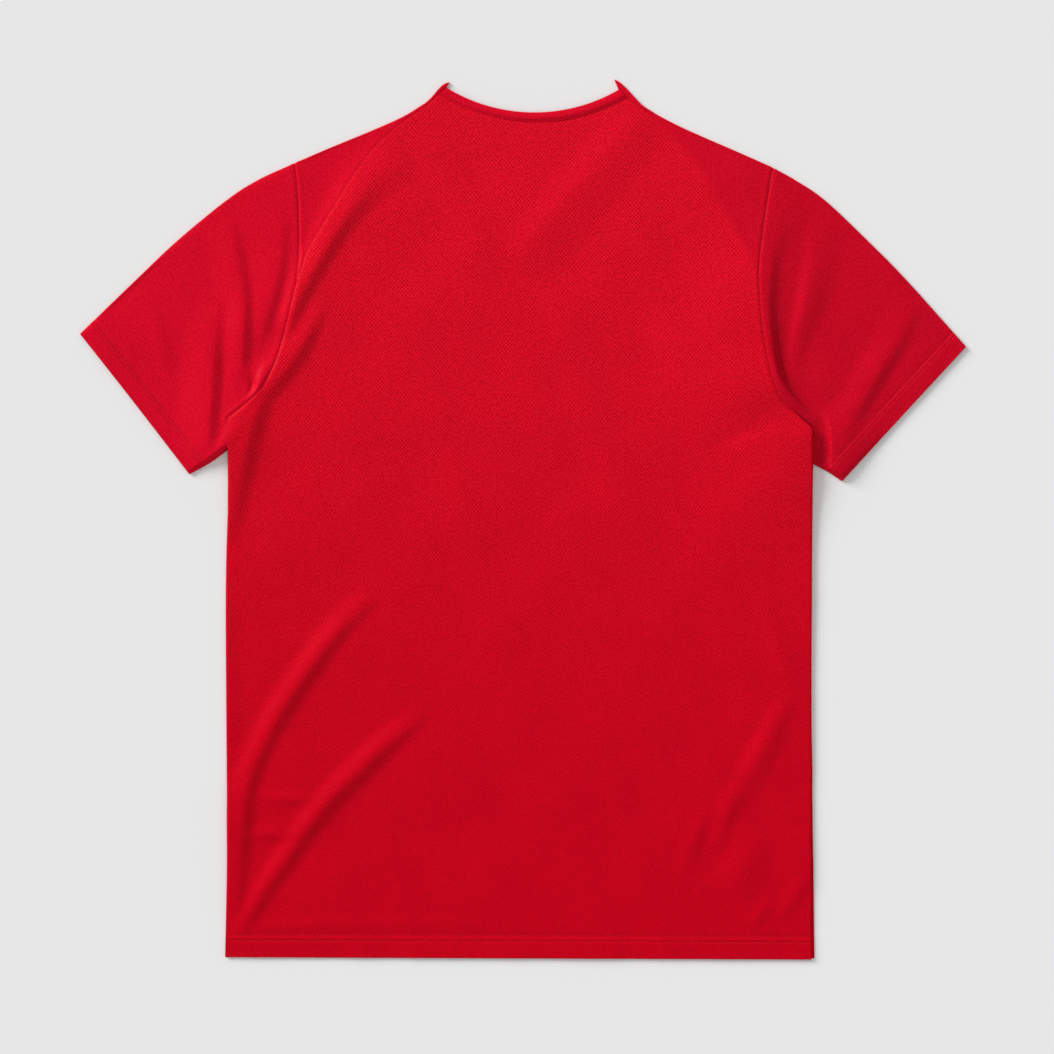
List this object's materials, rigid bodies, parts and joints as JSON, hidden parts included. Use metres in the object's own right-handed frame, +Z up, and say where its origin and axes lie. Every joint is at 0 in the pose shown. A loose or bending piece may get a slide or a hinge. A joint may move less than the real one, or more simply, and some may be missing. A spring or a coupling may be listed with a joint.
{
  "type": "training top",
  "caption": "Short-sleeved training top in knitted cloth, laid out flat on its front, with a scooped back neck, a V front neck, shoulder panels and turned-up hems.",
  "frame": {"origin": "on the surface the top lies on, under the middle of its outline", "axes": "+X across the garment, towards the sleeve on the right of the picture; +Y from the hem towards the neck; +Z up, out of the garment's back"},
  "size_m": [0.7566, 0.7513, 0.0091],
  "materials": {
    "mesh_knit": "matt red polyester knit with small pores",
    "plain_knit": "matt red polyester interlock knit"
  },
  "bodies": {
    "root": {"back_panel": "mesh_knit", "front_panel": "mesh_knit", "back_neckband": "plain_knit", "front_collar": "plain_knit", "shoulder_left": "plain_knit", "shoulder_right": "plain_knit", "sleeve_left": "plain_knit", "sleeve_right": "plain_knit"}
  },
  "joints": []
}
